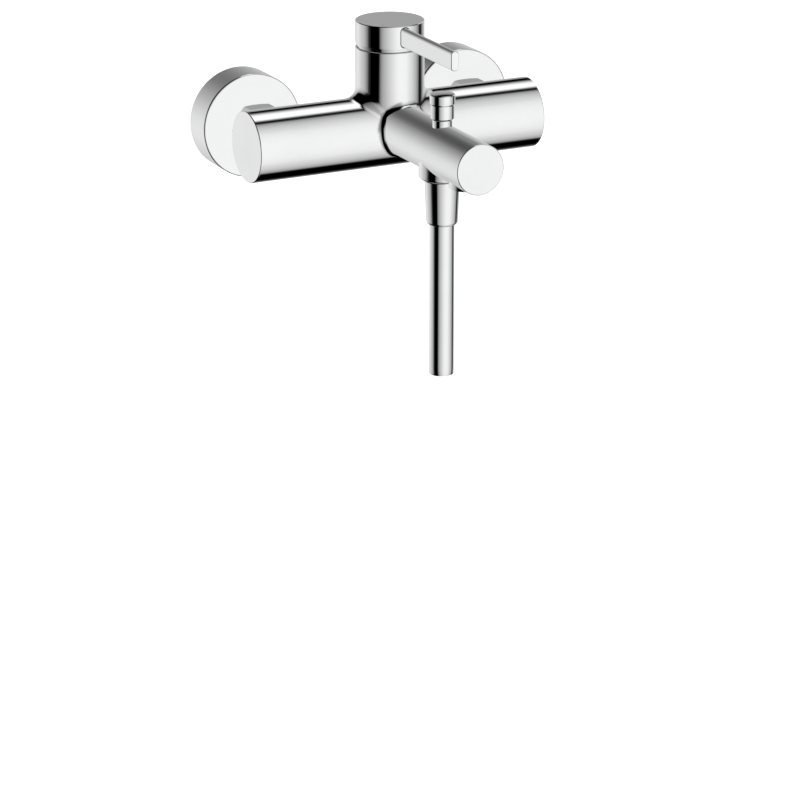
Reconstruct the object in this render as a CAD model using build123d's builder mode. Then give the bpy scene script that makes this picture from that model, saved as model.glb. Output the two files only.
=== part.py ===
import math
import os

from build123d import *

os.makedirs("parts", exist_ok=True)

# All lengths in millimetres. The origin lies on the wall, midway between the two inlets,
# level with the barrel's axis. X runs to the right, Y into the wall, Z up.

inlet_spacing = 150.0
barrel_y = -69.0
barrel_radius = 22.8
barrel_half = 100.0
end_plate = 1.2
cap_edge = 0.7
chamber_radius = 19.5

neck_radius = 22.0
neck_top = 54.5
neck_fillet = 8.0
spout_fillet = 4.5
cartridge_floor = 14.5

pivot_z = 48.0
tilt_limit = 15.0
dome_radius = 21.9
cap_cavity_radius = 22.2
cap_top = 71.5
cap_chamfer_top = 57.3
cap_rim = 55.0
cap_rim_radius = 21.35

lever_width = 5.2
lever_height = 12.2
lever_corner = 2.2
lever_middle_z = 64.2
lever_root = 20.6
groove_floor = 21.2
groove_width = 0.65
lever_reach = 90.5

spout_radius = 16.0
spout_z = 4.2
spout_seam_y = -97.0
spout_end_y = -194.5
spout_bore = 13.2
spigot_radius = 12.5
spigot_length = 8.5
aerator_y = -178.5

diverter_y = -142.7
boss_radius = 14.8
boss_bottom = -13.5
knob_radius = 7.4
knob_head_radius = 7.95
knob_bottom = 24.2
knob_seam = 33.3
knob_rim = 40.1
knob_crown = 40.4
bush_radius = 6.15
bush_top = 23.9

nut_top = -14.6
nut_bottom = -42.9
hose_radius = 7.85
hose_top = -33.2
hose_end = -141.6

# distances out from the wall along an inlet
pad_face = 45.8
nut_front = 45.4
nut_rear = 27.4
collar_front = 36.6
collar_rear = 33.5
union_mouth = 31.5
union_step = 13.0
thread_front = 5.0
thread_end = -16.0

escutcheon_radius = 33.8
escutcheon_depth = 23.0
escutcheon_wall = 1.2
escutcheon_edge = 1.2
escutcheon_collar = 3.0
tail_radius = 9.47
union_offset = 5.0
union_flats = 30.0
union_radius = 13.2
collar_radius = 12.4
thread_radius = 10.48
inlet_bore = 8.5

feed_port_x = 8.0
feed_port_y = -66.0
feed_port_radius = 4.0
mixed_port_y = -79.0

# heights inside the cartridge well
base_bottom = 16.0
base_top = 20.0
disc_bottom = 23.0
disc_thickness = 3.0
disc_gap = 0.1
carrier_top = 36.0
rotor_bottom = 37.4
retainer_bottom = 44.0
retainer_top = 51.0
rotor_top = 56.0
well_radius = 17.7
well_thread_radius = 19.0
retainer_radius = 18.95
pin_radius = 1.5
stem_width = 7.0
grub_z = 66.5
grub_radius = 2.5
grub_length = 2.9

# levels of the valve under the knob, and of the shower outlet below it
rod_radius = 2.5
rod_top = 37.0
seat_level = -2.9
outlet_radius = 8.3
outlet_bottom = -25.0
washer_bottom = -27.4
ferrule_step = -29.2
liner_outer = 6.6
liner_inner = 5.0

half_spacing = inlet_spacing / 2
disc_top = disc_bottom + disc_thickness
moving_bottom = disc_top + disc_gap
moving_top = moving_bottom + disc_thickness


def save(builder, label):
    part = builder.part
    part.label = label
    export_step(part, f"parts/{label}.step")
    box = part.bounding_box()
    print(label, round(part.volume, 1), len(part.solids()), part.is_valid,
          [round(v, 2) for v in (*box.min, *box.max)])


def turn(profile, plane, mode=Mode.ADD):
    """Turns a closed outline of (radius, height) pairs about the plane's own y axis."""
    with BuildSketch(plane) as outline:
        with BuildLine():
            Polyline(*profile, close=True)
        make_face()
    revolve(outline.sketch, axis=Axis(plane.origin, plane.y_dir), mode=mode)


def upright(x, y):
    return Plane(origin=(x, y, 0), x_dir=(1, 0, 0), z_dir=(0, -1, 0))


def level(x, z):
    return Plane(origin=(x, 0, z), x_dir=(1, 0, 0), z_dir=(0, 0, 1))


neck_axis = upright(0, barrel_y)
diverter_axis = upright(0, diverter_y)
aerator_axis = upright(0, aerator_y)

# ---- mixer body: barrel, neck and spout stub in one casting ----
with BuildPart() as mixer_body:
    with BuildSketch(Plane.YZ.offset(end_plate - barrel_half)):
        with Locations((barrel_y, 0)):
            Circle(barrel_radius)
    extrude(amount=2 * (barrel_half - end_plate))
    with BuildSketch(Plane.XY):
        with Locations((0, barrel_y)):
            Circle(neck_radius)
    extrude(amount=neck_top)
    crease = [e for e in mixer_body.edges()
              if e.geom_type == GeomType.BSPLINE and abs(e.center().X) < 25]
    fillet(crease, radius=neck_fillet)
    with BuildSketch(Plane.XZ.offset(-barrel_y)):
        with Locations((0, spout_z)):
            Circle(spout_radius)
    extrude(amount=barrel_y - spout_seam_y)
    root = [e for e in mixer_body.edges()
            if e.geom_type != GeomType.LINE and -97 < e.center().Y < -75
            and e.bounding_box().size.Y > 0.2
            and all(abs(math.hypot(v.X, v.Z - spout_z) - spout_radius) < 0.05 for v in e.vertices())]
    fillet(root, radius=spout_fillet)
    rims = [e for e in mixer_body.edges().filter_by(GeomType.CIRCLE)
            if abs(e.radius - neck_radius) < 0.01 and abs(e.center().Z - neck_top) < 0.01]
    chamfer(rims, length=0.35)
    # rear pads behind the two inlets
    for side in (-1, 1):
        with BuildSketch(Plane.XZ.offset(pad_face)):
            with Locations((side * half_spacing, 0)):
                Circle(13.0)
        extrude(amount=4.2)
    # hot and cold chambers
    for side in (-1, 1):
        with BuildSketch(Plane.YZ.offset(side * 26.0)):
            with Locations((barrel_y, 0)):
                Circle(chamber_radius)
        extrude(amount=side * 80.0, mode=Mode.SUBTRACT)
        with BuildSketch(Plane.XZ.offset(60.0)):
            with Locations((side * half_spacing, 0)):
                Circle(tail_radius + 0.03)
        extrude(amount=-20.0, mode=Mode.SUBTRACT)
        # way from the chamber to the cartridge's port
        with BuildSketch(Plane.YZ.offset(side * 6.0)):
            with Locations((feed_port_y, feed_port_radius - 1.0)):
                Circle(feed_port_radius + 0.5)
        extrude(amount=side * 24.0, mode=Mode.SUBTRACT)
        with BuildSketch(Plane.XY.offset(feed_port_radius - 1.0)):
            with Locations((side * feed_port_x, feed_port_y)):
                Circle(feed_port_radius)
        extrude(amount=20.0, mode=Mode.SUBTRACT)
    # cartridge well, with its threaded part above
    with BuildSketch(Plane.XY.offset(cartridge_floor)):
        with Locations((0, barrel_y)):
            Circle(well_radius)
    extrude(amount=neck_top, mode=Mode.SUBTRACT)
    with BuildSketch(Plane.XY.offset(retainer_bottom)):
        with Locations((0, barrel_y)):
            Circle(well_thread_radius)
    extrude(amount=neck_top, mode=Mode.SUBTRACT)
    # mixed water way to the spout
    with BuildSketch(Plane.XZ.offset(74.0)):
        with Locations((0, spout_z - 0.7)):
            Circle(9.0)
    extrude(amount=25.0, mode=Mode.SUBTRACT)
    with BuildSketch(Plane.XY.offset(4.0)):
        with Locations((0, mixed_port_y)):
            Circle(feed_port_radius)
    extrude(amount=20.0, mode=Mode.SUBTRACT)
    # socket that takes the spout's spigot
    with BuildSketch(Plane.XZ.offset(88.0)):
        with Locations((0, spout_z)):
            Circle(spigot_radius + 0.03)
    extrude(amount=20.0, mode=Mode.SUBTRACT)
save(mixer_body, "mixer_body")

# ---- end caps ----
for side, name in ((-1, "left_end_cap"), (1, "right_end_cap")):
    with BuildPart() as end_cap:
        with BuildSketch(Plane.YZ.offset(side * (barrel_half - end_plate))):
            with Locations((barrel_y, 0)):
                Circle(barrel_radius)
        extrude(amount=side * end_plate)
        outer = end_cap.edges().filter_by(GeomType.CIRCLE).sort_by(Axis.X)[0 if side < 0 else -1]
        fillet(outer, radius=cap_edge)
        with BuildSketch(Plane.YZ.offset(side * (barrel_half - end_plate))):
            with Locations((barrel_y, 0)):
                Circle(chamber_radius - 0.05)
                Circle(chamber_radius - 3.0, mode=Mode.SUBTRACT)
        extrude(amount=-side * 6.0)
    save(end_cap, name)

# ---- inlets, one set on each side ----
for side, word in ((-1, "left"), (1, "right")):
    x = side * half_spacing
    axis = level(x, 0)
    with BuildPart() as tail:
        turn([(7.0, -52.0), (tail_radius, -52.0), (tail_radius, -pad_face), (11.4, -pad_face),
              (11.4, -collar_front), (collar_radius, -collar_front), (collar_radius, -collar_rear),
              (7.0, -collar_rear)], axis)
    save(tail, f"{word}_inlet_tail")

    with BuildPart() as nut:
        with BuildSketch(Plane.XZ.offset(nut_front)):
            with Locations((x, 0)):
                RegularPolygon(union_flats / 2, 6, major_radius=False, rotation=0)
        extrude(amount=nut_rear - nut_front)
        # rounded corners: the hexagon stays inside a barrel-shaped turning
        turn([(0, -nut_front), (15.2, -nut_front), (17.6, 2.0 - nut_front), (17.6, -2.0 - nut_rear),
              (15.2, -nut_rear), (0, -nut_rear)], axis, mode=Mode.INTERSECT)
        # thread over the union, and the smaller hole that the tail passes through
        with BuildSketch(Plane.XZ.offset(collar_front)):
            with Locations((x, 0)):
                Circle(union_radius + 0.05)
        extrude(amount=-20.0, mode=Mode.SUBTRACT)
        with BuildSketch(Plane.XZ.offset(50.0)):
            with Locations((x, 0)):
                Circle(11.6)
        extrude(amount=-30.0, mode=Mode.SUBTRACT)
    save(nut, f"{word}_union_nut")

    with BuildPart() as seal:
        turn([(inlet_bore, -collar_rear), (collar_radius, -collar_rear),
              (collar_radius, -union_mouth), (inlet_bore, -union_mouth)], axis)
    save(seal, f"{word}_union_seal")

    with BuildPart() as strainer:
        with BuildSketch(Plane.XZ.offset(33.0)):
            with Locations((x, 0)):
                Circle(inlet_bore - 0.03)
                with HexLocations(1.25, 5, 5):
                    Circle(0.7, mode=Mode.SUBTRACT)
        extrude(amount=-0.8)
    save(strainer, f"{word}_strainer")

    with BuildPart() as union:
        with BuildSketch(Plane.XZ.offset(union_mouth)):
            with Locations((x, 0)):
                Circle(union_radius)
        extrude(amount=union_step - union_mouth)
        with BuildSketch(Plane.XZ.offset(union_step)):
            with Locations((x, 0)):
                Circle(union_radius)
        with BuildSketch(Plane.XZ.offset(thread_front)):
            with Locations((x, -union_offset)):
                Circle(thread_radius)
        loft()
        with BuildSketch(Plane.XZ.offset(thread_front)):
            with Locations((x, -union_offset)):
                Circle(thread_radius)
        extrude(amount=thread_end - thread_front)
        chamfer(union.edges().filter_by(GeomType.CIRCLE).sort_by(Axis.Y)[-1], length=0.8)
        with BuildSketch(Plane.XZ.offset(40.0)):
            with Locations((x, 0)):
                Circle(inlet_bore)
        extrude(amount=-29.0, mode=Mode.SUBTRACT)
        with BuildSketch(Plane.XZ.offset(12.0)):
            with Locations((x, -union_offset)):
                Circle(6.0)
        extrude(amount=-40.0, mode=Mode.SUBTRACT)
    save(union, f"{word}_wall_union")

    with BuildPart() as escutcheon:
        with BuildSketch(Plane.XZ):
            with Locations((x, 0)):
                Circle(escutcheon_radius)
        extrude(amount=escutcheon_depth)
        fillet(escutcheon.edges().filter_by(GeomType.CIRCLE).sort_by(Axis.Y)[0], radius=escutcheon_edge)
        with BuildSketch(Plane.XZ):
            with Locations((x, 0)):
                Circle(escutcheon_radius - escutcheon_wall)
        extrude(amount=escutcheon_depth - escutcheon_wall, mode=Mode.SUBTRACT)
        with BuildSketch(Plane.XZ):
            with Locations((x, 0)):
                Circle(union_radius + 0.02)
        extrude(amount=escutcheon_depth, mode=Mode.SUBTRACT)
        # friction collar behind the face
        with BuildSketch(Plane.XZ.offset(escutcheon_depth - escutcheon_wall - escutcheon_collar)):
            with Locations((x, 0)):
                Circle(union_radius + 1.4)
                Circle(union_radius + 0.02, mode=Mode.SUBTRACT)
        extrude(amount=escutcheon_collar)
    save(escutcheon, f"{word}_escutcheon")

# ---- cartridge ----
ports = [(-feed_port_x, feed_port_y), (feed_port_x, feed_port_y), (0, mixed_port_y)]

with BuildPart() as base_gasket:
    with BuildSketch(Plane.XY.offset(cartridge_floor)):
        with Locations((0, barrel_y)):
            Circle(17.4)
        with Locations(*ports):
            Circle(4.0, mode=Mode.SUBTRACT)
    extrude(amount=base_bottom - cartridge_floor)
save(base_gasket, "base_gasket")

with BuildPart() as cartridge_base:
    with BuildSketch(Plane.XY.offset(base_bottom)):
        with Locations((0, barrel_y)):
            Circle(well_radius - 0.2)
    extrude(amount=base_top - base_bottom)
    with BuildSketch(Plane.XY.offset(base_top)):
        with Locations((0, barrel_y)):
            Circle(15.9)
    extrude(amount=disc_bottom - base_top)
    with BuildSketch(Plane.XY.offset(15.0)):
        with Locations(*ports):
            Circle(3.8)
    extrude(amount=10.0, mode=Mode.SUBTRACT)
save(cartridge_base, "cartridge_base")

with BuildPart() as fixed_disc:
    with BuildSketch(Plane.XY.offset(disc_bottom)):
        with Locations((0, barrel_y)):
            Circle(15.6)
        with Locations(*ports):
            Circle(3.4, mode=Mode.SUBTRACT)
    extrude(amount=disc_thickness)
save(fixed_disc, "fixed_disc")

with BuildPart() as moving_disc:
    with BuildSketch(Plane.XY.offset(moving_bottom)):
        with Locations((0, barrel_y)):
            Circle(11.5)
    extrude(amount=disc_thickness)
    with BuildSketch(Plane.XY.offset(moving_bottom)):
        with Locations((0, barrel_y - 2.5)):
            Circle(7.5)
    extrude(amount=1.8, mode=Mode.SUBTRACT)
save(moving_disc, "moving_disc")

with BuildPart() as disc_carrier:
    with BuildSketch(Plane.XY.offset(moving_top)):
        with Locations((0, barrel_y)):
            Circle(11.5)
            Rectangle(17.0, 30.0, mode=Mode.INTERSECT)
    extrude(amount=carrier_top - moving_top)
    with BuildSketch(Plane.XY.offset(moving_top + 1.1)):
        with Locations((0, barrel_y)):
            Circle(3.4)
    extrude(amount=10.0, mode=Mode.SUBTRACT)
save(disc_carrier, "disc_carrier")

with BuildPart() as cartridge_housing:
    turn([(16.0, base_top), (17.5, base_top), (17.5, retainer_bottom), (15.5, retainer_bottom),
          (15.5, retainer_top + 1.0), (12.6, retainer_top + 1.0), (12.6, 41.0), (16.0, 41.0)],
         neck_axis)
save(cartridge_housing, "cartridge_housing")

with BuildPart() as cartridge_rotor:
    turn([(0, rotor_bottom), (15.5, rotor_bottom), (15.5, 40.7), (12.5, 40.7),
          (12.5, rotor_top - 0.6), (11.9, rotor_top), (0, rotor_top)], neck_axis)
    # rails that guide the disc carrier
    with BuildSketch(Plane.XY.offset(31.0)):
        with Locations((-11.0, barrel_y), (11.0, barrel_y)):
            Rectangle(4.0, 16.0)
    extrude(amount=7.0)
    # slot for the lever stem
    with BuildSketch(Plane.XY.offset(30.0)):
        with Locations((0, barrel_y)):
            Rectangle(7.6, 13.6)
    extrude(amount=30.0, mode=Mode.SUBTRACT)
    with BuildSketch(Plane.YZ.offset(-14.0)):
        with Locations((barrel_y, pivot_z)):
            Circle(pin_radius + 0.02)
    extrude(amount=28.0, mode=Mode.SUBTRACT)
save(cartridge_rotor, "cartridge_rotor")

with BuildPart() as pivot_pin:
    with BuildSketch(Plane.YZ.offset(-12.0)):
        with Locations((barrel_y, pivot_z)):
            Circle(pin_radius)
    extrude(amount=24.0)
save(pivot_pin, "pivot_pin")

with BuildPart() as cartridge_nut:
    turn([(15.8, retainer_bottom), (retainer_radius, retainer_bottom),
          (retainer_radius, retainer_top), (15.8, retainer_top)], neck_axis)
    # notches for the key that turns it
    with BuildSketch(Plane.XY.offset(retainer_top - 2.2)):
        with Locations((0, barrel_y)):
            with PolarLocations(17.4, 4, start_angle=45):
                Rectangle(5.0, 3.4)
    extrude(amount=4.0, mode=Mode.SUBTRACT)
save(cartridge_nut, "cartridge_nut")

with BuildPart() as dome_ring:
    rise = neck_top - pivot_z
    top = 16.5
    outer_foot = (math.sqrt(dome_radius**2 - rise**2), neck_top)
    outer_top = (math.sqrt(dome_radius**2 - top**2), pivot_z + top)
    inner = dome_radius - 1.5
    inner_top = (math.sqrt(inner**2 - top**2), pivot_z + top)
    inner_foot = (math.sqrt(inner**2 - 8.0**2), pivot_z + 8.0)
    with BuildSketch(neck_axis):
        with BuildLine():
            Polyline(inner_foot, (16.6, pivot_z + 8.0), (16.6, retainer_top),
                     (retainer_radius, retainer_top), (retainer_radius, neck_top), outer_foot)
            RadiusArc(outer_foot, outer_top, -dome_radius)
            Line(outer_top, inner_top)
            RadiusArc(inner_top, inner_foot, inner)
        make_face()
    revolve(axis=Axis((0, barrel_y, 0), (0, 0, 1)))
save(dome_ring, "dome_ring")

# ---- handle ----
with BuildPart() as lever_stem:
    with BuildSketch(Plane.XY.offset(43.0)):
        with Locations((0, barrel_y)):
            Rectangle(stem_width, stem_width)
    extrude(amount=26.0)
    with BuildSketch(Plane.XY.offset(34.0)):
        with Locations((0, barrel_y)):
            Circle(2.6)
    extrude(amount=10.0)
    with Locations((0, barrel_y, 34.0)):
        Sphere(3.1)
    with BuildSketch(Plane.YZ.offset(-6.0)):
        with Locations((barrel_y, pivot_z)):
            Circle(pin_radius + 0.06)
    extrude(amount=12.0, mode=Mode.SUBTRACT)
save(lever_stem, "lever_stem")

with BuildPart() as handle_cap:
    foot = (math.sqrt(cap_cavity_radius**2 - (cap_rim - pivot_z)**2), cap_rim)
    roof_z = pivot_z + 21.0
    roof = (math.sqrt(cap_cavity_radius**2 - (roof_z - pivot_z)**2), roof_z)
    with BuildSketch(neck_axis):
        with BuildLine():
            Polyline(roof, (0, roof_z), (0, cap_top), (neck_radius - 0.4, cap_top),
                     (neck_radius, cap_top - 0.4), (neck_radius, cap_chamfer_top),
                     (cap_rim_radius, cap_rim), foot)
            RadiusArc(foot, roof, -cap_cavity_radius)
        make_face()
    revolve(axis=Axis((0, barrel_y, 0), (0, 0, 1)))
    # boss that grips the stem
    with BuildSketch(Plane.XY.offset(59.0)):
        with Locations((0, barrel_y)):
            Circle(6.4)
    extrude(amount=10.5)
    with BuildSketch(Plane.XY.offset(58.0)):
        with Locations((0, barrel_y)):
            Rectangle(stem_width + 0.04, stem_width + 0.04)
    extrude(amount=11.3, mode=Mode.SUBTRACT)
    # slanted relief at the rear, so that the skirt clears the neck when the lever is up
    slope = math.radians(tilt_limit + 2.0)
    reach = 40.0
    gap = 6.9
    with BuildSketch(Plane.YZ.offset(-30.0)):
        with BuildLine():
            start = (barrel_y - 3.0, pivot_z + gap / math.cos(slope) - 3.0 * math.tan(slope))
            end = (barrel_y + reach, pivot_z + gap / math.cos(slope) + reach * math.tan(slope))
            Polyline(start, end, (barrel_y + reach, 40.0), (barrel_y - 3.0, 40.0), close=True)
        make_face()
    extrude(amount=60.0, mode=Mode.SUBTRACT)
    # pocket for the lever's root
    with BuildSketch(Plane.XZ.offset(-barrel_y + lever_root)):
        with Locations((0, lever_middle_z)):
            RectangleRounded(lever_width + 0.02, lever_height + 0.02, lever_corner)
    extrude(amount=10.0, mode=Mode.SUBTRACT)
    # shadow groove around the lever where it leaves the cap
    with BuildSketch(Plane.XZ.offset(-barrel_y + groove_floor)):
        with Locations((0, lever_middle_z)):
            RectangleRounded(lever_width + 2 * groove_width, lever_height + 2 * groove_width,
                             lever_corner + groove_width)
    extrude(amount=10.0, mode=Mode.SUBTRACT)
    # grub screw hole at the rear
    with BuildSketch(Plane.XZ.offset(-barrel_y - 2.0)):
        with Locations((0, grub_z)):
            Circle(grub_radius + 0.03)
    extrude(amount=-30.0, mode=Mode.SUBTRACT)
save(handle_cap, "handle_cap")

with BuildPart() as lever_bar:
    with BuildSketch(Plane.XZ.offset(-barrel_y + lever_root)):
        with Locations((0, lever_middle_z)):
            RectangleRounded(lever_width, lever_height, lever_corner)
    extrude(amount=lever_reach - lever_root)
    tip = lever_bar.faces().sort_by(Axis.Y)[0]
    chamfer(tip.edges(), length=0.3)
save(lever_bar, "lever_bar")

with BuildPart() as grub_screw:
    with BuildSketch(Plane.XZ.offset(-barrel_y - 3.5)):
        with Locations((0, grub_z)):
            Circle(grub_radius)
    extrude(amount=-grub_length)
    # hexagon socket
    with BuildSketch(Plane.XZ.offset(-barrel_y - 3.5 - grub_length)):
        with Locations((0, grub_z)):
            RegularPolygon(1.25, 6, major_radius=False)
    extrude(amount=1.6, mode=Mode.SUBTRACT)
save(grub_screw, "grub_screw")

with BuildPart() as screw_cover:
    with BuildSketch(Plane.XZ.offset(-barrel_y - 18.8)):
        with Locations((0, grub_z)):
            Circle(grub_radius)
    extrude(amount=-2.8)
save(screw_cover, "screw_cover")

# ---- spout ----
with BuildPart() as spout_tube:
    with BuildSketch(Plane.XZ.offset(-spout_seam_y)):
        with Locations((0, spout_z)):
            Circle(spout_radius)
    extrude(amount=spout_seam_y - spout_end_y - end_plate)
    # spigot that enters the body
    with BuildSketch(Plane.XZ.offset(-spout_seam_y - spigot_length)):
        with Locations((0, spout_z)):
            Circle(spigot_radius)
    extrude(amount=spigot_length + 1.0)
    # boss for the shower outlet
    with BuildSketch(Plane.XY.offset(boss_bottom)):
        with Locations((0, diverter_y)):
            Circle(boss_radius)
    extrude(amount=spout_z - boss_bottom)
    rim = [e for e in spout_tube.edges().filter_by(GeomType.CIRCLE)
           if abs(e.center().Z - boss_bottom) < 0.01]
    fillet(rim, radius=1.4)
    # water ways: rear bore, valve chamber, upper way, front chamber
    with BuildSketch(Plane.XZ.offset(85.0)):
        with Locations((0, spout_z)):
            Circle(10.5)
    extrude(amount=44.0, mode=Mode.SUBTRACT)
    with BuildSketch(Plane.XZ.offset(128.0)):
        Circle(5.0)
    extrude(amount=12.0, mode=Mode.SUBTRACT)
    with BuildSketch(Plane.XY.offset(-20.0)):
        with Locations((0, diverter_y)):
            Circle(9.43)
    extrude(amount=26.0, mode=Mode.SUBTRACT)
    with BuildSketch(Plane.XY):
        with Locations((0, diverter_y)):
            Circle(6.4)
    extrude(amount=10.0, mode=Mode.SUBTRACT)
    with BuildSketch(Plane.XY.offset(8.0)):
        with Locations((0, diverter_y)):
            Circle(9.43)
    extrude(amount=6.0, mode=Mode.SUBTRACT)
    with BuildSketch(Plane.XZ.offset(145.0)):
        with Locations((0, 11.1)):
            Circle(2.9)
    extrude(amount=15.0, mode=Mode.SUBTRACT)
    with BuildSketch(Plane.XZ.offset(156.5)):
        with Locations((0, spout_z)):
            Circle(spout_bore)
    extrude(amount=50.0, mode=Mode.SUBTRACT)
    # hole for the diverter's bush
    with BuildSketch(Plane.XY.offset(13.0)):
        with Locations((0, diverter_y)):
            Circle(5.03)
    extrude(amount=10.0, mode=Mode.SUBTRACT)
    with BuildSketch(Plane.XY.offset(18.2)):
        with Locations((0, diverter_y)):
            Circle(bush_radius + 0.03)
    extrude(amount=10.0, mode=Mode.SUBTRACT)
    # aerator seat
    with BuildSketch(Plane.XY.offset(-10.5)):
        with Locations((0, aerator_y)):
            Circle(12.2)
    extrude(amount=10.2)
    with BuildSketch(Plane.XY.offset(-20.0)):
        with Locations((0, aerator_y)):
            Circle(10.48)
    extrude(amount=18.2, mode=Mode.SUBTRACT)
    with BuildSketch(Plane.XY.offset(-5.0)):
        with Locations((0, aerator_y)):
            Circle(8.0)
    extrude(amount=8.0, mode=Mode.SUBTRACT)
save(spout_tube, "spout_tube")

with BuildPart() as spout_end_cap:
    with BuildSketch(Plane.XZ.offset(-spout_end_y - end_plate)):
        with Locations((0, spout_z)):
            Circle(spout_radius)
    extrude(amount=end_plate)
    fillet(spout_end_cap.edges().filter_by(GeomType.CIRCLE).sort_by(Axis.Y)[0], radius=cap_edge)
    with BuildSketch(Plane.XZ.offset(191.2)):
        with Locations((0, spout_z)):
            Circle(spout_bore - 0.05)
            Circle(spout_bore - 1.8, mode=Mode.SUBTRACT)
    extrude(amount=-spout_end_y - end_plate - 191.2)
save(spout_end_cap, "spout_end_cap")

with BuildPart() as aerator_seal:
    turn([(7.9, -2.8), (10.4, -2.8), (10.4, -1.8), (7.9, -1.8)], aerator_axis)
save(aerator_seal, "aerator_seal")

with BuildPart() as aerator_housing:
    turn([(8.2, -10.9), (9.9, -10.9), (10.4, -10.4), (10.4, -2.8), (8.2, -2.8)], aerator_axis)
    with BuildSketch(Plane.XY.offset(-11.5)):
        with Locations((0, aerator_y)):
            with PolarLocations(9.3, 4):
                Rectangle(1.2, 2.6)
    extrude(amount=1.6, mode=Mode.SUBTRACT)
save(aerator_housing, "aerator_housing")

with BuildPart() as aerator_insert:
    with BuildSketch(Plane.XY.offset(-10.3)):
        with Locations((0, aerator_y)):
            Circle(8.15)
            with HexLocations(1.05, 7, 7):
                Circle(0.72, mode=Mode.SUBTRACT)
    extrude(amount=6.5)
save(aerator_insert, "aerator_insert")

# ---- diverter ----
with BuildPart() as diverter_bush:
    turn([(2.55, 13.6), (5.0, 13.6), (5.0, 18.2), (bush_radius, 18.2),
          (bush_radius, bush_top - 0.2), (bush_radius - 0.2, bush_top), (2.55, bush_top)],
         diverter_axis)
    turn([(0, 15.0), (3.6, 15.0), (3.6, 17.0), (0, 17.0)], diverter_axis, mode=Mode.SUBTRACT)
save(diverter_bush, "diverter_bush")

with BuildPart() as rod_seal:
    with BuildSketch(diverter_axis):
        with Locations((3.08, 16.0)):
            Circle(0.5)
    revolve(axis=Axis((0, diverter_y, 0), (0, 0, 1)))
save(rod_seal, "rod_seal")

with BuildPart() as diverter_rod:
    turn([(0, -6.3), (2.0, -6.3), (2.0, seat_level), (4.4, seat_level), (4.4, seat_level + 1.0),
          (rod_radius, seat_level + 1.0), (rod_radius, rod_top), (0, rod_top)], diverter_axis)
save(diverter_rod, "diverter_rod")

with BuildPart() as diverter_valve:
    turn([(2.0, -5.7), (8.1, -5.7), (8.1, seat_level), (2.0, seat_level)], diverter_axis)
save(diverter_valve, "diverter_valve")

with BuildPart() as diverter_spring:
    coil_foot = -1.4
    coil_rise = 14.5
    with BuildLine():
        Helix(pitch=coil_rise / 5.0, height=coil_rise, radius=3.7, center=(0, diverter_y, coil_foot))
    with BuildSketch(Plane(origin=(3.7, diverter_y, coil_foot), x_dir=(1, 0, 0), z_dir=(0, 1, 0))):
        Circle(0.4)
    sweep(is_frenet=True)
save(diverter_spring, "diverter_spring")

with BuildPart() as diverter_knob:
    turn([(rod_radius, knob_bottom), (knob_radius - 0.8, knob_bottom),
          (knob_radius, knob_bottom + 0.8), (knob_radius, knob_seam), (rod_radius, knob_seam)],
         diverter_axis)
save(diverter_knob, "diverter_knob")

with BuildPart() as knob_head:
    with BuildSketch(diverter_axis):
        with BuildLine():
            # slightly domed top
            dome_edge = knob_head_radius - 0.5
            RadiusArc((0, knob_crown), (dome_edge, knob_rim),
                      (dome_edge ** 2 + (knob_crown - knob_rim) ** 2) / (2 * (knob_crown - knob_rim)))
            Polyline((dome_edge, knob_rim), (knob_head_radius, knob_rim - 0.5),
                     (knob_head_radius, knob_seam + 1.0), (knob_radius, knob_seam),
                     (rod_radius, knob_seam), (rod_radius, rod_top), (0, rod_top), (0, knob_crown))
        make_face()
    revolve(axis=Axis(diverter_axis.origin, (0, 0, 1)))
save(knob_head, "knob_head")

# ---- shower outlet and hose ----
with BuildPart() as shower_outlet:
    turn([(6.3, -6.0), (9.4, -6.0), (9.4, boss_bottom), (outlet_radius, boss_bottom),
          (outlet_radius, outlet_bottom + 0.4), (outlet_radius - 0.4, outlet_bottom),
          (5.6, outlet_bottom), (5.6, -8.0), (6.3, -8.0)], diverter_axis)
save(shower_outlet, "shower_outlet")

with BuildPart() as hose_washer:
    turn([(5.4, washer_bottom), (8.2, washer_bottom), (8.2, outlet_bottom), (5.4, outlet_bottom)],
         diverter_axis)
save(hose_washer, "hose_washer")

with BuildPart() as hose_nut:
    thread = outlet_radius + 0.03
    mouth = hose_radius + 0.25
    turn([(thread, nut_top), (10.8, nut_top), (11.1, nut_top - 0.4), (10.0, nut_bottom + 1.6),
          (9.6, nut_bottom + 0.5), (8.9, nut_bottom), (mouth, nut_bottom), (mouth, -32.4),
          (7.0, -32.4), (7.0, ferrule_step), (thread, ferrule_step)], diverter_axis)
save(hose_nut, "hose_nut")

with BuildPart() as hose_ferrule:
    turn([(4.0, washer_bottom), (8.2, washer_bottom), (8.2, ferrule_step),
          (liner_outer, ferrule_step), (liner_outer, hose_top), (liner_inner, hose_top),
          (liner_inner, -46.0), (4.0, -46.0)], diverter_axis)
save(hose_ferrule, "hose_ferrule")

with BuildPart() as hose_liner:
    turn([(liner_inner, hose_top), (liner_outer, hose_top), (liner_outer, hose_end),
          (liner_inner, hose_end)], diverter_axis)
save(hose_liner, "hose_liner")

with BuildPart() as hose_sheath:
    turn([(liner_outer, hose_top), (hose_radius, hose_top), (hose_radius, hose_end),
          (liner_outer, hose_end)], diverter_axis)
save(hose_sheath, "hose_sheath")
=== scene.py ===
import math

import bmesh
import bpy
from mathutils import Matrix, Vector


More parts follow.
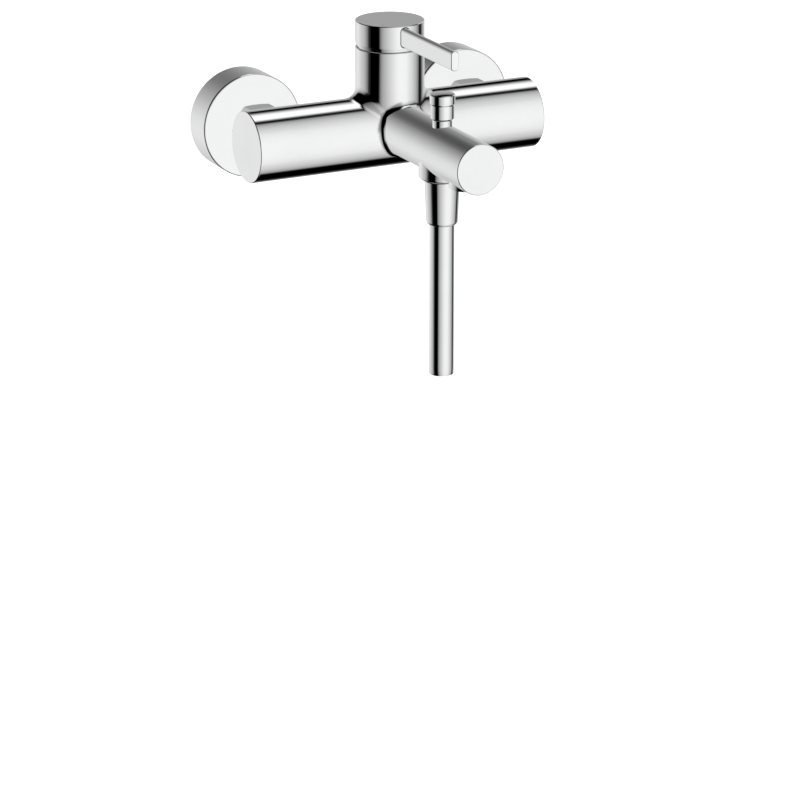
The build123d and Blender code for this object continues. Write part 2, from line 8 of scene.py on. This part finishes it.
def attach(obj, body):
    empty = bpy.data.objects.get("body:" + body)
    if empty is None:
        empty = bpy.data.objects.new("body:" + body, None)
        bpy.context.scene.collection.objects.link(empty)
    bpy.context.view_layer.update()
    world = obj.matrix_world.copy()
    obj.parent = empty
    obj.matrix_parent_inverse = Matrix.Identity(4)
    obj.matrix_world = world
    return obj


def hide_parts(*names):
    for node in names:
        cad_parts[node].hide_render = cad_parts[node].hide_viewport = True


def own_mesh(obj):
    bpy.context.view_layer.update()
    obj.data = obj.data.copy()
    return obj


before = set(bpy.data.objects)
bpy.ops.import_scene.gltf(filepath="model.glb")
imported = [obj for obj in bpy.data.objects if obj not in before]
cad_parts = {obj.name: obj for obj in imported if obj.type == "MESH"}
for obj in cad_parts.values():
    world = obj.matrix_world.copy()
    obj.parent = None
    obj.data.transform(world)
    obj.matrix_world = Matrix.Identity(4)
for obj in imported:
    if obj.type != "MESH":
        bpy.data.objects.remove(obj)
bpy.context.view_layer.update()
scene = bpy.context.scene
scene.view_settings.view_transform = "Standard"
print("frame loaded:", len(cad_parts), "nodes")


cameraSetup = {"place": (-0.97095, -2.04980, 0.58908), "aim": (0.04126, 0.0, -0.21108), "lens": 160.7}


def makeCamera(setup):
    cameraData = bpy.data.cameras.new("camera")
    cameraData.lens = setup["lens"]
    cameraData.sensor_width = 36.0
    cameraData.clip_end = 20.0
    camera = bpy.data.objects.new("camera", cameraData)
    camera.location = setup["place"]
    gaze = Vector(setup["aim"]) - Vector(setup["place"])
    camera.rotation_euler = gaze.to_track_quat("-Z", "Y").to_euler()
    scene.collection.objects.link(camera)
    scene.camera = camera


makeCamera(cameraSetup)
print("camera placed")


class Wire:
    # a node's output that can be used in sums
    def __init__(self, maker, socket):
        self.maker = maker
        self.socket = socket

    def __add__(self, other):
        return self.maker.maths("ADD", self, other)

    def __radd__(self, other):
        return self.maker.maths("ADD", other, self)

    def __sub__(self, other):
        return self.maker.maths("SUBTRACT", self, other)

    def __rsub__(self, other):
        return self.maker.maths("SUBTRACT", other, self)

    def __mul__(self, other):
        return self.maker.maths("MULTIPLY", self, other)

    def __truediv__(self, other):
        return self.maker.maths("DIVIDE", self, other)


class NodeMaker:
    def __init__(self, tree):
        self.tree = tree
        tree.nodes.clear()

    def node(self, kind, settings=None, sockets=None, output=0):
        made = self.tree.nodes.new(kind)
        for key, value in (settings or {}).items():
            if key == "stops":
                self.fillRamp(made.color_ramp, value)
            else:
                setattr(made, key, value)
        for key, value in (sockets or {}).items():
            if isinstance(value, Wire):
                self.tree.links.new(value.socket, made.inputs[key])
            else:
                made.inputs[key].default_value = value
        return Wire(self, made.outputs[output]) if made.outputs else None

    def maths(self, operation, first, second):
        return self.node("ShaderNodeMath", {"operation": operation}, {0: first, 1: second})

    def fillRamp(self, ramp, stops):
        while len(ramp.elements) > 1:
            ramp.elements.remove(ramp.elements[-1])
        ramp.elements[0].position = stops[0][0]
        for place, _ in stops[1:]:
            ramp.elements.new(place)
        for element, (_, level) in zip(ramp.elements, stops):
            element.color = (level, level, level, 1.0)

    def curve(self, value, points):
        # value mapped through straight pieces between (input, result) pairs
        low, high = points[0][0], points[-1][0]
        spread = self.node("ShaderNodeMapRange", {}, {"Value": value, "From Min": low, "From Max": high})
        stops = [((at - low) / (high - low), level) for at, level in points]
        return self.node("ShaderNodeValToRGB", {"stops": stops}, {"Fac": spread})

    def step(self, value, start, end):
        return self.node("ShaderNodeMapRange", {"interpolation_type": "SMOOTHSTEP"},
                         {"Value": value, "From Min": start, "From Max": end})

    def split(self, vector):
        parts = self.node("ShaderNodeSeparateXYZ", {}, {0: vector})
        return [Wire(self, output) for output in parts.socket.node.outputs]

    def noise(self, place, scale, detail=2.0, roughness=0.5):
        return self.node("ShaderNodeTexNoise", {}, {"Vector": place, "Scale": scale, "Detail": detail,
                                                    "Roughness": roughness})


studio = {
    # how bright the white screens look in the metal, against where it faces: x right, y back, z up
    "frontScreen": [(-0.06, 0.0), (0.0, 0.01), (0.05, 0.08), (0.1, 0.30), (0.2, 0.45), (0.36, 0.60),
                    (0.5, 0.69), (0.62, 0.80), (0.75, 0.86), (0.88, 0.90), (1.0, 0.92)],
    "leftFlag": [(-0.89, 0.0), (-0.87, 0.05), (-0.85, 0.20), (-0.81, 0.36), (-0.73, 0.50), (-0.62, 0.59),
                 (-0.46, 0.70), (-0.32, 0.79), (-0.17, 0.88), (0.0, 0.97), (0.2, 1.0)],
    "rightFall": [(0.5, 1.0), (0.69, 0.89), (0.81, 0.87), (0.91, 0.80), (1.0, 0.55)],
    "backScreen": [(0.06, 0.02), (0.17, 0.03), (0.22, 0.18), (0.32, 0.34), (0.41, 0.51), (0.51, 0.63),
                   (0.61, 0.71), (0.71, 0.79), (0.8, 0.90), (0.87, 1.0), (0.95, 1.04)],
    "backHeights": [(-0.79, 0.0), (-0.7, 0.06), (-0.62, 0.26), (-0.5, 0.72), (-0.4, 0.77), (-0.26, 0.77),
                    (-0.1, 0.73), (0.05, 0.63), (0.2, 0.50), (0.33, 0.37), (0.42, 0.26), (0.47, 0.17),
                    (0.5, 0.12), (0.54, 0.05), (0.6, 0.0)],
    "backSides": [(-0.3, 1.0), (0.0, 0.90), (0.2, 0.76), (0.45, 0.74), (0.6, 0.95), (0.73, 1.1), (0.9, 1.0)],
    "frontShade": {"x": (0.30, -0.15), "z": (0.0, 0.55), "depth": 0.48},
    "darkCorner": {"x": (0.34, 0.39), "far": (0.56, 0.49), "y": (0.865, 0.835), "z": (0.22, 0.36)},
    "leftGap": {"x": (0.2, 0.0), "y": (0.86, 0.78), "z": (0.2, 0.4)},
    "sideFill": {"x": (0.5, 0.6), "y": (0.1, 0.25), "z": (0.0, 0.2), "level": 0.6},
    "topScreen": [(0.52, 0.0), (0.58, 0.10), (0.66, 0.46), (0.75, 0.90), (0.8, 1.08), (1.0, 1.1)],
    "topRear": [(0.06, 0.0), (0.13, 0.22), (0.2, 0.80), (0.3, 1.0)],
    "topLeftEnd": (-0.1, 0.2),
    "turnover": (0.03, 0.08),  # where the front screens give way to the rear ones
    "metalLevel": 1.04,
    "background": 1.0,
    "lamp": {"power": 6.0, "size": 1.2, "place": (-0.5, -0.9, 1.3)},
}

floorSetup = {"z": -0.32, "halfSize": 6.0, "cells": 4, "tone": 0.9, "glow": 1.0}


def makeWorld(setup):
    world = bpy.data.worlds.new("studio")
    world.use_nodes = True
    scene.world = world
    maker = NodeMaker(world.node_tree)
    direction = maker.node("ShaderNodeTexCoord")
    x, y, z = maker.split(direction)
    flat = maker.node("ShaderNodeVectorMath", {"operation": "MULTIPLY"}, {0: direction, 1: (1, 1, 0)})
    level = maker.node("ShaderNodeVectorMath", {"operation": "NORMALIZE"}, {0: flat})
    levelX = maker.split(level)[0]
    front = maker.curve(0 - y, setup["frontScreen"]) * maker.curve(levelX, setup["leftFlag"])
    front = front * maker.curve(x, setup["rightFall"])
    shade = setup["frontShade"]
    front = front * (1 - maker.step(x, *shade["x"]) * maker.step(z, *shade["z"]) * shade["depth"])
    corner = setup["darkCorner"]
    darkness = maker.step(x, *corner["x"]) * maker.step(x, *corner["far"]) * maker.step(
        y, *corner["y"]) * maker.step(z, *corner["z"])
    back = maker.curve(y, setup["backScreen"]) * maker.curve(z, setup["backHeights"])
    back = back * maker.curve(x, setup["backSides"]) * (1 - darkness)
    top = maker.curve(z, setup["topScreen"]) * maker.curve(y, setup["topRear"])
    top = top * maker.step(x, *setup["topLeftEnd"])
    gap, fill = setup["leftGap"], setup["sideFill"]
    behind = (back + top) * (1 - maker.step(x, *gap["x"]) * maker.step(y, *gap["y"]) * maker.step(
        z, *gap["z"]))
    filled = maker.step(x, *fill["x"]) * maker.step(y, *fill["y"]) * maker.step(z, *fill["z"]) * fill[
        "level"]
    behind = maker.maths("MAXIMUM", behind, filled)
    isBack = maker.step(y, *setup["turnover"])
    seen = (front * (1 - isBack) + behind * isBack) * setup["metalLevel"]
    toCamera = maker.node("ShaderNodeLightPath")
    white = maker.node("ShaderNodeBackground", {}, {"Strength": setup["background"], "Color": (1, 1, 1, 1)})
    screens = maker.node("ShaderNodeBackground", {}, {"Color": (1, 1, 1, 1), "Strength": seen})
    mixed = maker.node("ShaderNodeMixShader", {}, {0: toCamera, 1: screens, 2: white})
    maker.node("ShaderNodeOutputWorld", {}, {"Surface": mixed})


def makeLamp(setup):
    lampData = bpy.data.lights.new("softLamp", "AREA")
    lampData.energy = setup["power"]
    lampData.size = setup["size"]
    lamp = bpy.data.objects.new("softLamp", lampData)
    lamp.location = setup["place"]
    lamp.rotation_euler = (-Vector(setup["place"])).to_track_quat("-Z", "Y").to_euler()
    lamp.visible_glossy = False  # the metal shows the screens alone
    scene.collection.objects.link(lamp)


def makeFloor(setup):
    floorMesh = bmesh.new()
    bmesh.ops.create_grid(floorMesh, x_segments=setup["cells"], y_segments=setup["cells"],
                          size=setup["halfSize"])
    floorData = bpy.data.meshes.new("floor")
    floorMesh.to_mesh(floorData)
    floorMesh.free()
    floorData.transform(Matrix.Translation((0, 0, setup["z"])))
    floor = bpy.data.objects.new("floor", floorData)
    floor.visible_glossy = False
    scene.collection.objects.link(floor)
    material = bpy.data.materials.new("floorWhite")
    material.use_nodes = True
    maker = NodeMaker(material.node_tree)
    tone = setup["tone"]
    pale = maker.node("ShaderNodeBsdfDiffuse", {}, {"Color": (tone, tone, tone, 1)})
    glow = maker.node("ShaderNodeEmission", {}, {"Strength": setup["glow"]})
    both = maker.node("ShaderNodeAddShader", {}, {0: pale, 1: glow})
    # clear from below, so that the underside can be seen
    clear = maker.node("ShaderNodeBsdfTransparent")
    below = maker.node("ShaderNodeNewGeometry", output="Backfacing")
    oneSided = maker.node("ShaderNodeMixShader", {}, {0: below, 1: both, 2: clear})
    maker.node("ShaderNodeOutputMaterial", {}, {"Surface": oneSided})
    floorData.materials.append(material)


makeWorld(studio)
makeLamp(studio["lamp"])
makeFloor(floorSetup)
print("studio ready")


hose = {
    # points down the middle of the hose, from the nut to its free end
    "route": [(0.0, -0.1427, -0.0332), (0.0, -0.1427, -0.0874), (0.0, -0.1427, -0.1416)],
    "diameter": 0.0157,
    "wall": 0.00125,
    "edge": 0.0004,
    "around": 96,
    "exit": (0.0, -0.1427, -0.0332),
    "length": 0.1084,
}


def routeLine(route, steps):
    # points along the smooth spline through the route
    curve = bpy.data.curves.new("route", "CURVE")
    curve.dimensions = "3D"
    curve.resolution_u = steps
    spline = curve.splines.new("NURBS")
    spline.points.add(len(route) - 1)
    for point, place in zip(spline.points, route):
        point.co = (*place, 1.0)
    spline.order_u = 3
    spline.use_endpoint_u = True
    holder = bpy.data.objects.new("route", curve)
    scene.collection.objects.link(holder)
    line = bpy.data.meshes.new_from_object(holder.evaluated_get(bpy.context.evaluated_depsgraph_get()))
    points = [vertex.co.copy() for vertex in line.vertices]
    bpy.data.objects.remove(holder)
    bpy.data.curves.remove(curve)
    bpy.data.meshes.remove(line)
    return points


def unitCircle(count):
    turns = [math.tau * i / count for i in range(count)]
    return [(math.cos(a), math.sin(a)) for a in turns]


def loftRings(mesh, rings, closed):
    # joins rings of points into one skin; a closed one returns to its first ring
    made = [[mesh.verts.new(point) for point in ring] for ring in rings]
    pairs = list(zip(made, made[1:]))
    if closed:
        pairs.append((made[-1], made[0]))
    count = len(made[0])
    for first, second in pairs:
        for i in range(count):
            mesh.faces.new((first[i], first[(i + 1) % count], second[(i + 1) % count], second[i]))
    return made


def meshPiece(name, mesh, material, angle=35):
    bmesh.ops.recalc_face_normals(mesh, faces=mesh.faces)
    data = bpy.data.meshes.new(name)
    mesh.to_mesh(data)
    mesh.free()
    data.shade_smooth()
    data.set_sharp_from_angle(angle=math.radians(angle))
    data.materials.append(material)
    piece = bpy.data.objects.new(name, data)
    piece.visible_glossy = False
    scene.collection.objects.link(piece)
    return piece


def makeHose(setup, material):
    line = routeLine(setup["route"], 12)
    outer = setup["diameter"] / 2
    inner = outer - setup["wall"]
    edge = setup["edge"]
    # (radius, shift from the end) of the rounded rim at each end
    rim = [(inner, edge), (inner + edge * 0.3, edge * 0.3), (inner + edge, 0.0), (outer - edge, 0.0),
           (outer - edge * 0.3, edge * 0.3), (outer, edge)]
    top, bottom = line[0].z, line[-1].z
    profile = [(radius, top - shift) for radius, shift in rim]
    profile += [(outer, point.z) for point in line[1:-1]]
    profile += [(radius, bottom + shift) for radius, shift in reversed(rim)]
    centre = line[0]
    circle = unitCircle(setup["around"])
    rings = []
    for radius, height in profile:
        rings.append([(centre.x + radius * c, centre.y + radius * s, height) for c, s in circle])
    mesh = bmesh.new()
    loftRings(mesh, rings, closed=True)
    piece = meshPiece("hoseSheath", mesh, material)
    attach(piece, "mixer")
    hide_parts("hose_sheath")
    return piece


wallUnion = {
    "spacing": 0.150,
    # (distance behind the wall plane, drop of the centre, radius) down the outside, front to rear
    "outside": [(-0.0315, 0.0, 0.0129), (-0.0312, 0.0, 0.0132), (-0.0130, 0.0, 0.0132),
                (-0.0110, 0.00125, 0.01252), (-0.0090, 0.0025, 0.01184), (-0.0070, 0.00375, 0.01116),
                (-0.0050, 0.005, 0.01048)],
    # and back up the bore
    "inside": [(0.0160, 0.005, 0.0064), (0.0156, 0.005, 0.0060), (-0.0060, 0.005, 0.0060),
               (-0.0085, 0.0038, 0.0066), (-0.0120, 0.0010, 0.0079), (-0.0140, 0.0, 0.0085),
               (-0.0312, 0.0, 0.0085), (-0.0315, 0.0, 0.0088)],
    "thread": {"from": -0.0050, "to": 0.0152, "end": 0.0160, "radius": 0.01048, "endRadius": 0.00968,
               "drop": 0.005, "pitch": 0.001814, "depth": 0.00105, "runOut": 0.0012, "rearRunOut": 0.3,
               "steps": 11, "flank": (0.12, 0.88), "leastRadius": 0.0098, "sharpAngle": 28},
    "around": 96,
}


def threadTree(setup):
    # cuts a helical groove into the part of a turned skin that lies between two depths
    tree = bpy.data.node_groups.new("threadCut", "GeometryNodeTree")
    tree.interface.new_socket("Geometry", in_out="INPUT", socket_type="NodeSocketGeometry")
    for name in ("Axis X", "Axis Z", "Pitch", "Depth", "Start", "End", "Run Out", "Least Radius"):
        tree.interface.new_socket(name, in_out="INPUT", socket_type="NodeSocketFloat")
    tree.interface.new_socket("Material", in_out="INPUT", socket_type="NodeSocketMaterial")
    tree.interface.new_socket("Geometry", in_out="OUTPUT", socket_type="NodeSocketGeometry")
    maker = NodeMaker(tree)
    given = maker.node("NodeGroupInput").socket.node.outputs
    given = {output.name: Wire(maker, output) for output in given if output.name}
    x, y, z = maker.split(maker.node("GeometryNodeInputPosition"))
    across, down = x - given["Axis X"], z - given["Axis Z"]
    flat = maker.node("ShaderNodeCombineXYZ", {}, {0: across, 1: 0.0, 2: down})
    radius = maker.node("ShaderNodeVectorMath", {"operation": "LENGTH"}, {0: flat}, output=1)
    outward = maker.node("ShaderNodeVectorMath", {"operation": "NORMALIZE"}, {0: flat})
    turned = y / given["Pitch"] + maker.maths("ARCTAN2", down, across) * (1 / math.tau)
    phase = maker.maths("PINGPONG", turned, 0.5) * 2  # 0 on the crest, 1 at the root
    crest, root = setup["flank"]
    groove = maker.node("ShaderNodeMapRange", {}, {"Value": phase, "From Min": crest, "From Max": root})
    starting = maker.node("ShaderNodeMapRange", {}, {
        "Value": y, "From Min": given["Start"], "From Max": given["Start"] + given["Run Out"]})
    ending = maker.node("ShaderNodeMapRange", {}, {
        "Value": y, "From Min": given["End"],
        "From Max": given["End"] - given["Run Out"] * setup["rearRunOut"]})
    onSkin = maker.maths("GREATER_THAN", radius, given["Least Radius"])
    cut = groove * starting * ending * onSkin * given["Depth"]
    shift = maker.node("ShaderNodeVectorMath", {"operation": "SCALE"}, {0: outward, "Scale": 0 - cut})
    moved = maker.node("GeometryNodeSetPosition", {}, {"Geometry": given["Geometry"], "Offset": shift})
    whole = maker.node("GeometryNodeRealizeInstances", {}, {0: moved})
    painted = maker.node("GeometryNodeSetMaterial", {}, {"Geometry": whole, "Material": given["Material"]})
    maker.node("NodeGroupOutput", {}, {0: painted})
    return tree


def makeWallUnion(side, setup, tree, material):
    thread = setup["thread"]
    centreX = (-0.5 if side == "left" else 0.5) * setup["spacing"]
    count = round((thread["to"] - thread["from"]) / thread["pitch"] * thread["steps"])
    stride = (thread["to"] - thread["from"]) / count
    profile = list(setup["outside"])
    profile += [(thread["from"] + stride * i, thread["drop"], thread["radius"]) for i in range(1, count + 1)]
    profile += [(thread["end"], thread["drop"], thread["endRadius"])] + setup["inside"]
    circle = unitCircle(setup["around"])
    rings = []
    for depth, drop, radius in profile:
        rings.append([(centreX + radius * c, depth, radius * s - drop) for c, s in circle])
    mesh = bmesh.new()
    loftRings(mesh, rings, closed=True)
    piece = meshPiece(side + "WallUnion", mesh, material)
    cutter = piece.modifiers.new("thread", "NODES")
    cutter.node_group = tree
    values = {"Axis X": centreX, "Axis Z": -thread["drop"], "Pitch": thread["pitch"],
              "Depth": thread["depth"], "Start": thread["from"], "End": thread["to"],
              "Run Out": thread["runOut"], "Least Radius": thread["leastRadius"], "Material": material}
    for item in tree.interface.items_tree:
        if item.in_out == "INPUT" and item.name in values:
            cutter[item.identifier] = values[item.name]
    evaluated = piece.evaluated_get(bpy.context.evaluated_depsgraph_get())
    cutMesh = bpy.data.meshes.new_from_object(evaluated)
    piece.modifiers.remove(cutter)
    piece.data = cutMesh
    cutMesh.shade_smooth()
    cutMesh.set_sharp_from_angle(angle=math.radians(thread["sharpAngle"]))
    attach(piece, "mixer")
    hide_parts(side + "_wall_union")
    return piece


leverShadowPaint = {
    # painted shadow: a thin near-black ring round the lever where it leaves the cap, standing in for the
    # shadow line there
    "middle": (0.0, 0.0642),
    "inner": {"width": 0.00522, "height": 0.01222, "corner": 0.0022},
    "outer": {"width": 0.00646, "height": 0.01346, "corner": 0.00283},
    "front": -0.0690 - 0.0216,
    "rear": -0.0690 - 0.02122,
    "cornerSteps": 8,
}


def roundedOutline(middle, shape, steps):
    halfWidth = shape["width"] / 2 - shape["corner"]
    halfHeight = shape["height"] / 2 - shape["corner"]
    points = []
    for quarter in range(4):
        for i in range(steps + 1):
            a = math.pi / 2 * (quarter + i / steps)
            signX = 1 if quarter in (0, 3) else -1
            signZ = 1 if quarter < 2 else -1
            points.append((middle[0] + signX * halfWidth + shape["corner"] * math.cos(a),
                           middle[1] + signZ * halfHeight + shape["corner"] * math.sin(a)))
    return points


# painted shadow: builds the near-black ring that stands in for the shadow line round the lever root
def makeLeverShadowPaint(setup, material):
    inner = roundedOutline(setup["middle"], setup["inner"], setup["cornerSteps"])
    outer = roundedOutline(setup["middle"], setup["outer"], setup["cornerSteps"])
    rings = [[(x, depth, z) for x, z in outline] for outline, depth in (
        (inner, setup["rear"]), (inner, setup["front"]), (outer, setup["front"]), (outer, setup["rear"]))]
    mesh = bmesh.new()
    loftRings(mesh, rings, closed=True)
    piece = meshPiece("leverShadowPaint", mesh, material)
    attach(piece, "handle")
    return piece


metalLooks = {
    "chrome": {"light": (0.965, 0.967, 0.972), "dark": (0.935, 0.938, 0.946), "polish": 0.022,
               "haze": 0.035, "smudge": 34.0, "ripple": 0.012, "rippleSize": 900.0},
    "chrome_inlet": {"light": (0.955, 0.957, 0.962), "dark": (0.915, 0.918, 0.926), "polish": 0.035,
                     "haze": 0.06, "smudge": 40.0, "ripple": 0.03, "rippleSize": 1100.0},
    "hose_chrome": {"light": (0.955, 0.957, 0.963), "dark": (0.925, 0.928, 0.936), "polish": 0.035,
                    "haze": 0.04, "smudge": 30.0, "ripple": 0.02, "rippleSize": 700.0},
    "brass": {"light": (0.86, 0.67, 0.36), "dark": (0.66, 0.47, 0.22), "polish": 0.22,
              "haze": 0.22, "smudge": 60.0, "ripple": 0.15, "rippleSize": 1500.0},
    "steel": {"light": (0.60, 0.60, 0.61), "dark": (0.45, 0.45, 0.46), "polish": 0.24,
              "haze": 0.18, "smudge": 120.0, "ripple": 0.12, "rippleSize": 2200.0},
    "strainer_steel": {"light": (0.66, 0.66, 0.67), "dark": (0.5, 0.5, 0.51), "polish": 0.2,
                       "haze": 0.15, "smudge": 150.0, "ripple": 0.1, "rippleSize": 2500.0},
}

grainDepth = 0.0002  # how deep the bump in every finish may go
wipeMarks = {"detail": 5.0, "roughness": 0.62, "edges": [(0.35, 0.0), (0.68, 1.0)]}
cloudScale = 90.0

softLooks = {
    "seal_rubber": {"light": (0.035, 0.035, 0.037), "dark": (0.018, 0.018, 0.02), "gloss": 0.55,
                    "haze": 0.25, "grain": 2200.0, "depth": 0.25},
    "liner_rubber": {"light": (0.05, 0.05, 0.053), "dark": (0.025, 0.025, 0.028), "gloss": 0.5,
                     "haze": 0.25, "grain": 1800.0, "depth": 0.2},
    "ceramic": {"light": (0.9, 0.88, 0.83), "dark": (0.82, 0.8, 0.75), "gloss": 0.16,
                "haze": 0.12, "grain": 1500.0, "depth": 0.05},
    "cartridge_plastic": {"light": (0.80, 0.81, 0.82), "dark": (0.72, 0.73, 0.74), "gloss": 0.42,
                          "haze": 0.15, "grain": 1600.0, "depth": 0.12},
    "carrier_plastic": {"light": (0.22, 0.34, 0.52), "dark": (0.17, 0.28, 0.45), "gloss": 0.4,
                        "haze": 0.15, "grain": 1600.0, "depth": 0.12},
    "ring_plastic": {"light": (0.006, 0.006, 0.006), "dark": (0.003, 0.003, 0.003), "gloss": 0.7,
                     "haze": 0.1, "grain": 2000.0, "depth": 0.05},
    "cover_plastic": {"light": (0.30, 0.30, 0.31), "dark": (0.22, 0.22, 0.23), "gloss": 0.35,
                      "haze": 0.15, "grain": 1400.0, "depth": 0.1},
    "aerator_plastic": {"light": (0.60, 0.61, 0.62), "dark": (0.48, 0.49, 0.50), "gloss": 0.38,
                        "haze": 0.2, "grain": 1400.0, "depth": 0.12},
}


def startMaterial(name):
    material = bpy.data.materials.new(name + "Look")
    material.use_nodes = True
    return material, NodeMaker(material.node_tree)


def metalMaterial(name, look):
    material, maker = startMaterial(name)
    place = maker.node("ShaderNodeTexCoord", output="Object")
    wiped = maker.noise(place, look["smudge"], detail=wipeMarks["detail"], roughness=wipeMarks["roughness"])
    patches = maker.curve(wiped, wipeMarks["edges"])
    tone = maker.node("ShaderNodeMix", {"data_type": "RGBA"},
                      {0: patches, 6: (*look["light"], 1), 7: (*look["dark"], 1)}, output=2)
    fine = maker.noise(place, look["rippleSize"], detail=2.0)
    relief = maker.node("ShaderNodeBump", {}, {"Strength": look["ripple"], "Distance": grainDepth,
                                               "Height": fine})
    skin = maker.node("ShaderNodeBsdfPrincipled", {}, {
        "Base Color": tone, "Metallic": 1.0, "Roughness": look["polish"] + patches * look["haze"],
        "Normal": relief})
    maker.node("ShaderNodeOutputMaterial", {}, {"Surface": skin})
    return material


def softMaterial(name, look):
    material, maker = startMaterial(name)
    place = maker.node("ShaderNodeTexCoord", output="Object")
    cloud = maker.noise(place, cloudScale, detail=4.0)
    tone = maker.node("ShaderNodeMix", {"data_type": "RGBA"},
                      {0: cloud, 6: (*look["light"], 1), 7: (*look["dark"], 1)}, output=2)
    grain = maker.noise(place, look["grain"], detail=3.0)
    relief = maker.node("ShaderNodeBump", {}, {"Strength": look["depth"], "Distance": grainDepth,
                                               "Height": grain})
    skin = maker.node("ShaderNodeBsdfPrincipled", {}, {
        "Base Color": tone, "Roughness": look["gloss"] + cloud * look["haze"], "Normal": relief})
    maker.node("ShaderNodeOutputMaterial", {}, {"Surface": skin})
    return material


finishes = {name: metalMaterial(name, look) for name, look in metalLooks.items()}
finishes.update({name: softMaterial(name, look) for name, look in softLooks.items()})


def finishNodes():
    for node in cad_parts.values():
        node.visible_glossy = False  # the metal shows the screens alone
        for slot in node.material_slots:
            slot.material = finishes[slot.material.name.split(".")[0]]


finishNodes()
makeHose(hose, finishes["hose_chrome"])
print("finishes and hose done")

cutTree = threadTree(wallUnion["thread"])
for side in ("left", "right"):
    makeWallUnion(side, wallUnion, cutTree, finishes["brass"])
# the near-black ring_plastic finish on this ring paints the lever's shadow line
makeLeverShadowPaint(leverShadowPaint, finishes["ring_plastic"])
print("wall unions and lever seam done")

diverterSpring = {"top": (0.0, -0.1427, 0.0135), "free": 0.0153, "lift": 0.008, "merge": 1e-6}


def makeSpring(setup, node, material):
    # the same coil, copied with its doubled points merged; the real one shortens towards its fixed top as
    # the diverter rises, which this copy does not do
    mesh = bmesh.new()
    mesh.from_mesh(node.data)
    bmesh.ops.remove_doubles(mesh, verts=mesh.verts, dist=setup["merge"])
    piece = meshPiece("diverterSpring", mesh, material)
    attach(piece, "mixer")
    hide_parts("diverter_spring")
    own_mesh(piece)
    return piece


makeSpring(diverterSpring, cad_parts["diverter_spring"], finishes["steel"])
print("spring done")
